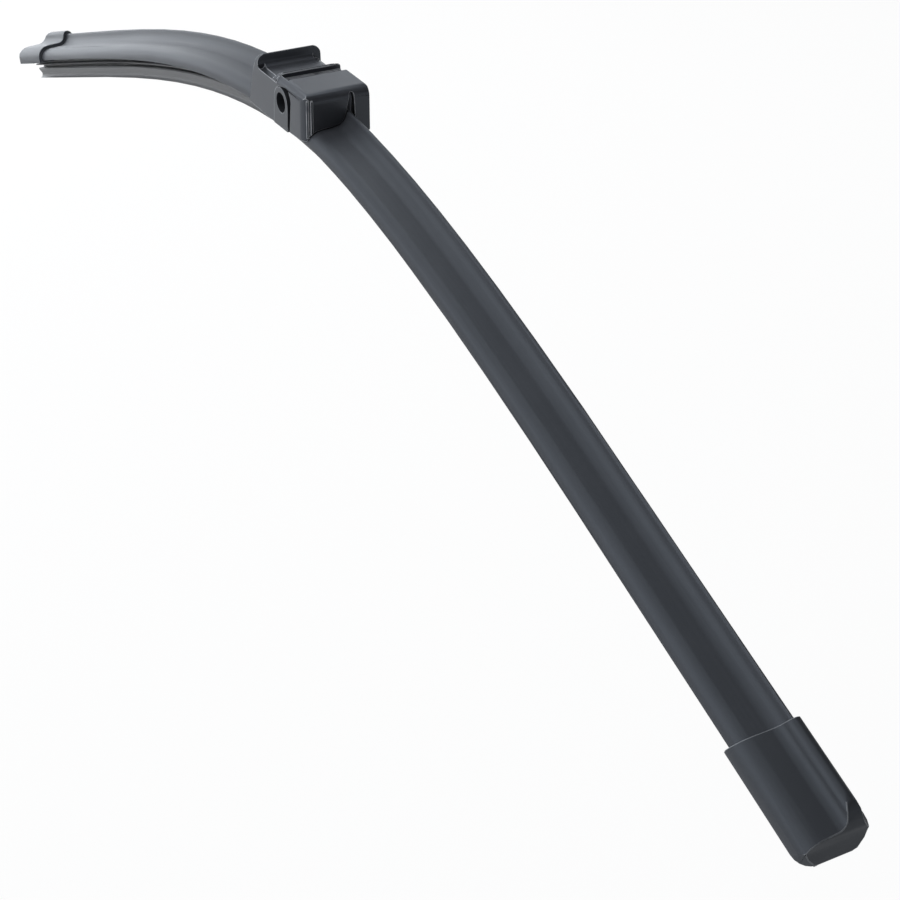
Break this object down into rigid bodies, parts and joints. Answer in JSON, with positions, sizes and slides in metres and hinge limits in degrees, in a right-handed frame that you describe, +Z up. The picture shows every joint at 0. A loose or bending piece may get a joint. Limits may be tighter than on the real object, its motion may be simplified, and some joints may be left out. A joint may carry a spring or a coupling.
{
  "type": "wiper blade",
  "caption": "Flat beam wiper blade: a soft arched spoiler over spring rails, a wiping rubber below, end caps at its tips and a side-pin connector at its middle.",
  "frame": {"origin": "centre of the side-pin bore, half way through the connector", "axes": "+X along the blade towards its near, slightly longer half; +Y along the bore, towards the fin side; +Z up, away from the glass"},
  "size_m": [0.556, 0.0224, 0.0996],
  "materials": {
    "spoiler_rubber": "matt, faintly ribbed along its length",
    "spring_steel": "dark zinc flake",
    "wiper_rubber": "graphite coated",
    "cap_plastic": "fine grain",
    "carrier_plastic": "smooth moulded",
    "housing_plastic": "fine grain"
  },
  "bodies": {
    "root": {"spoiler_near": "spoiler_rubber", "spoiler_far": "spoiler_rubber", "rail_wind_side": "spring_steel", "rail_lee_side": "spring_steel", "wiper_rubber": "wiper_rubber", "end_cap_near": "cap_plastic", "end_cap_far": "cap_plastic", "pin_carrier": "carrier_plastic", "connector_housing": "housing_plastic"}
  },
  "joints": []
}
